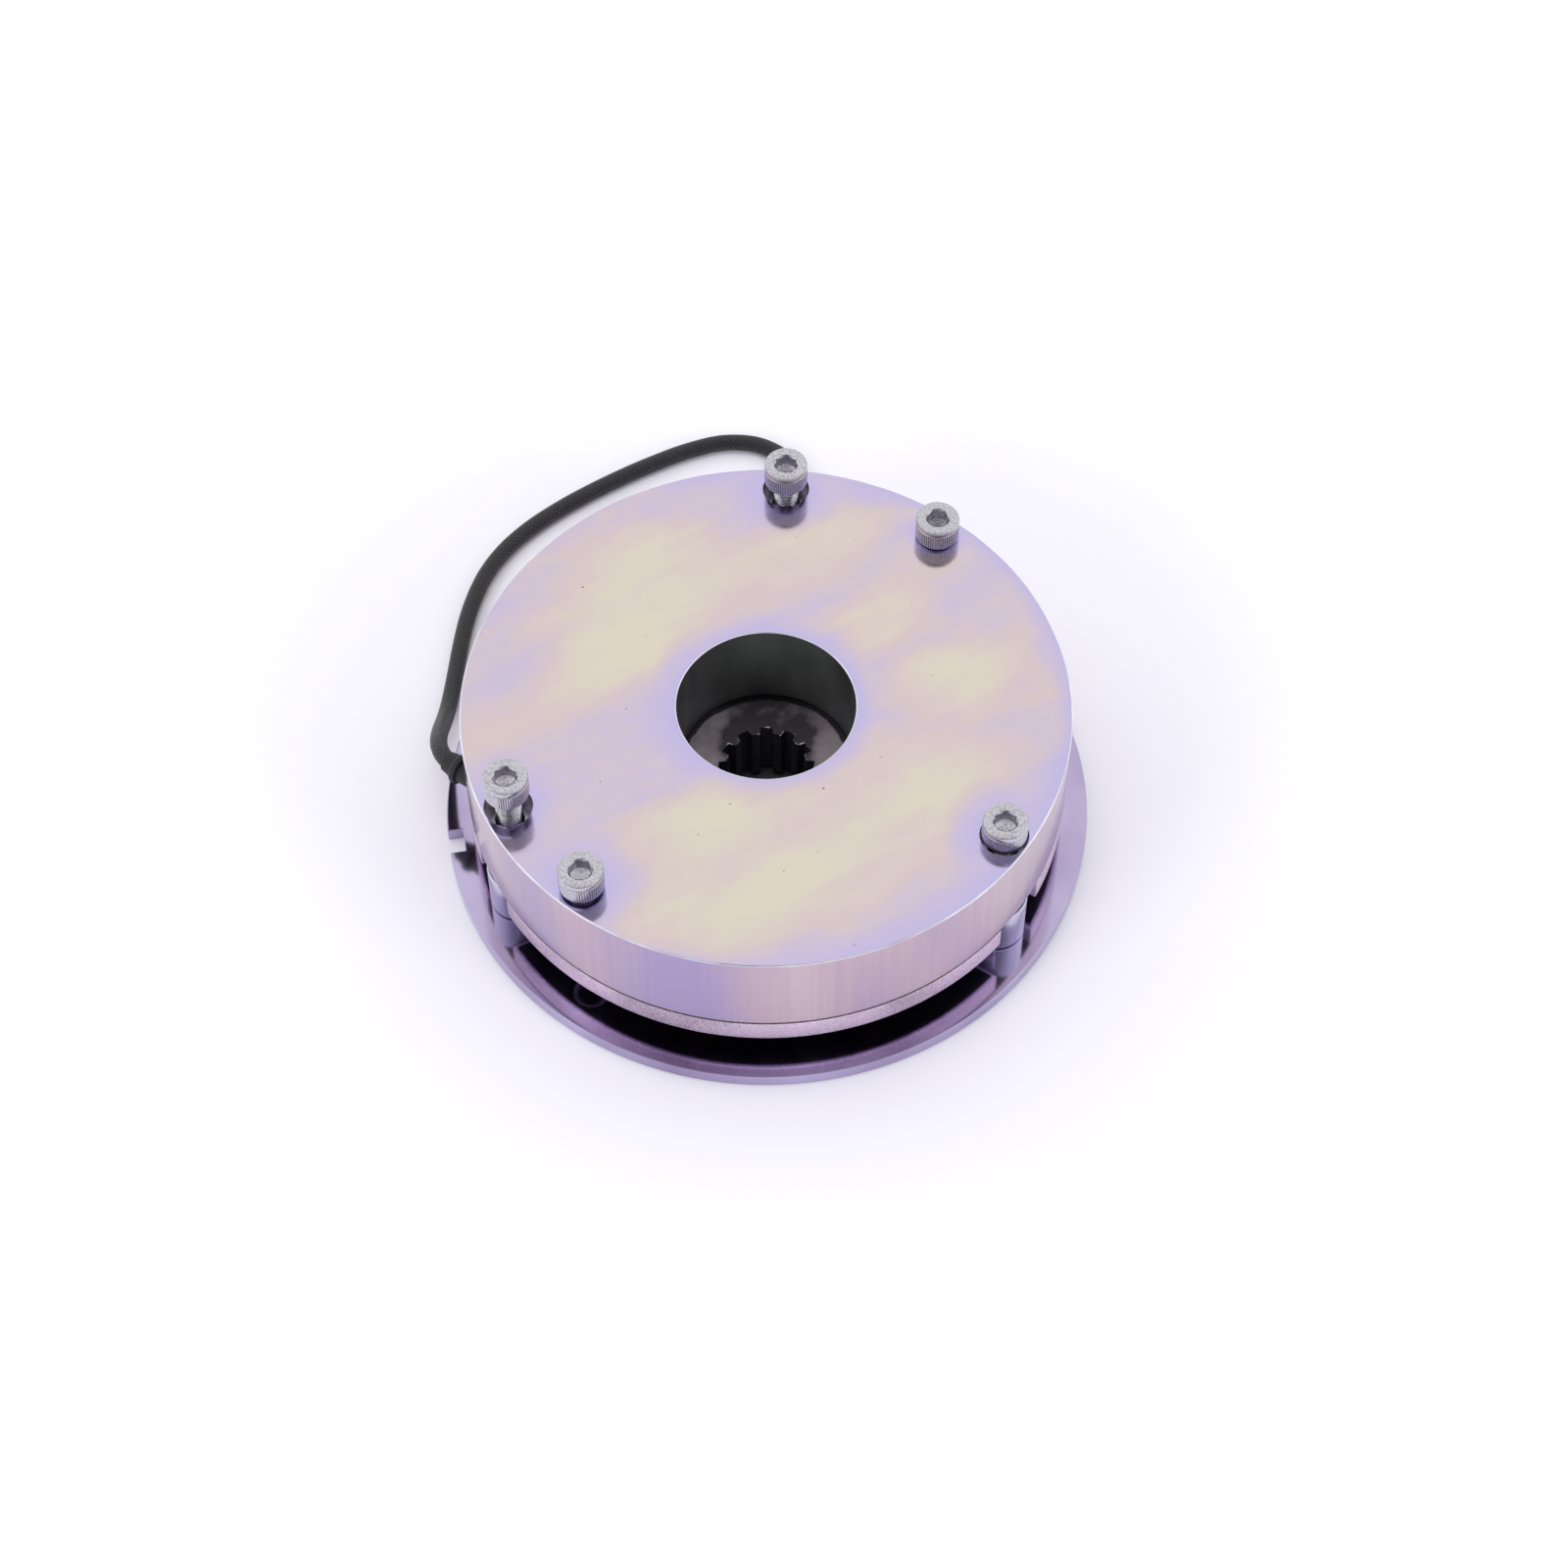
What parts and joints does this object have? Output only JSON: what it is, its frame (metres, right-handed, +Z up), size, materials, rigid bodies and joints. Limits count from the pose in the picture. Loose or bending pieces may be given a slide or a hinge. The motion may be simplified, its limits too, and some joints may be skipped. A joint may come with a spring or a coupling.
{
  "type": "spring-applied electromagnetic brake",
  "caption": "Spring-applied electromagnetic disc brake: thick round magnet body with a bore, armature plate, friction rotor on a splined hub, flange plate, sleeves, loose screws and a lead.",
  "frame": {"origin": "centre of the flange plate's bottom face, which stands on the surface", "axes": "+Z up along the shaft axis, from the flange plate to the magnet body; the lead leaves towards -X and runs round the back, towards +Y"},
  "size_m": [0.1289, 0.1575, 0.0439],
  "materials": {
    "zinc_iridescent": "zinc plated and iridescent passivated, semi-gloss",
    "zinc_pink": "zinc plated and iridescent passivated, fine granular ground steel",
    "zinc_purple": "zinc plated and iridescent passivated, smooth rolled steel, glossy",
    "zinc_blue": "blue-white zinc plated turned steel",
    "zinc_bright": "bright zinc plated steel, knurled heads",
    "steel_grey": "sintered steel, fine grey grain",
    "spring_steel": "drawn spring wire",
    "aluminium": "die-cast, satin",
    "copper": "enamelled copper wire",
    "friction_lining": "pressed friction compound, matt black",
    "nylon": "moulded nylon, natural",
    "potting_resin": "cast epoxy, black",
    "rubber": "moulded rubber",
    "woven_sleeve": "varnished woven sleeve, charcoal black"
  },
  "bodies": {
    "stator": {"flange_plate": "zinc_purple", "spacer_sleeve_1": "zinc_blue", "spacer_sleeve_2": "zinc_blue", "spacer_sleeve_3": "zinc_blue", "magnet_body": "zinc_iridescent", "coil_bobbin": "nylon", "coil_winding": "copper", "coil_potting": "potting_resin", "pressure_spring_1": "spring_steel", "pressure_spring_2": "spring_steel", "pressure_spring_3": "spring_steel", "pressure_spring_4": "spring_steel", "pressure_spring_5": "spring_steel", "pressure_spring_6": "spring_steel", "lead_grommet": "rubber", "lead_cable": "woven_sleeve", "lead_connector": "nylon"},
    "armature": {"armature_plate": "zinc_pink"},
    "hub": {"splined_hub": "steel_grey"},
    "rotor": {"rotor_disc": "aluminium", "friction_lining_lower": "friction_lining", "friction_lining_upper": "friction_lining"},
    "mounting_bolt_1": {"mounting_screw_1": "zinc_bright"},
    "mounting_bolt_2": {"mounting_screw_2": "zinc_bright"},
    "mounting_bolt_3": {"mounting_screw_3": "zinc_bright"},
    "release_bolt_1": {"release_screw_1": "zinc_bright"},
    "release_bolt_2": {"release_screw_2": "zinc_bright"}
  },
  "joints": [
    {"name": "armature_lift", "type": "slide", "parent": "stator", "child": "armature", "axis": [0, 0, 1], "range_m": [0, 0.0004], "stiffness_N_per_m": 6000, "springref_m": -0.002, "deforming": ["pressure_spring_1", "pressure_spring_2", "pressure_spring_3", "pressure_spring_4", "pressure_spring_5", "pressure_spring_6"]},
    {"name": "hub_spin", "type": "hinge", "parent": "stator", "child": "hub", "pos_m": [0, 0, 0], "axis": [0, 0, 1], "continuous": true},
    {"name": "rotor_float", "type": "slide", "parent": "hub", "child": "rotor", "axis": [0, 0, 1], "range_m": [0, 0.00025]},
    {"name": "mounting_bolt_1_travel", "type": "slide", "parent": "stator", "child": "mounting_bolt_1", "axis": [0, 0, 1], "range_m": [-0.0086, 0.01]},
    {"name": "mounting_bolt_2_travel", "type": "slide", "parent": "stator", "child": "mounting_bolt_2", "axis": [0, 0, 1], "range_m": [-0.0037, 0.01]},
    {"name": "mounting_bolt_3_travel", "type": "slide", "parent": "stator", "child": "mounting_bolt_3", "axis": [0, 0, 1], "range_m": [-0.0067, 0.01]},
    {"name": "release_bolt_1_travel", "type": "slide", "parent": "armature", "child": "release_bolt_1", "axis": [0, 0, 1], "range_m": [-0.0008, 0.003]},
    {"name": "release_bolt_2_travel", "type": "slide", "parent": "armature", "child": "release_bolt_2", "axis": [0, 0, 1], "range_m": [0, 0.003]}
  ]
}
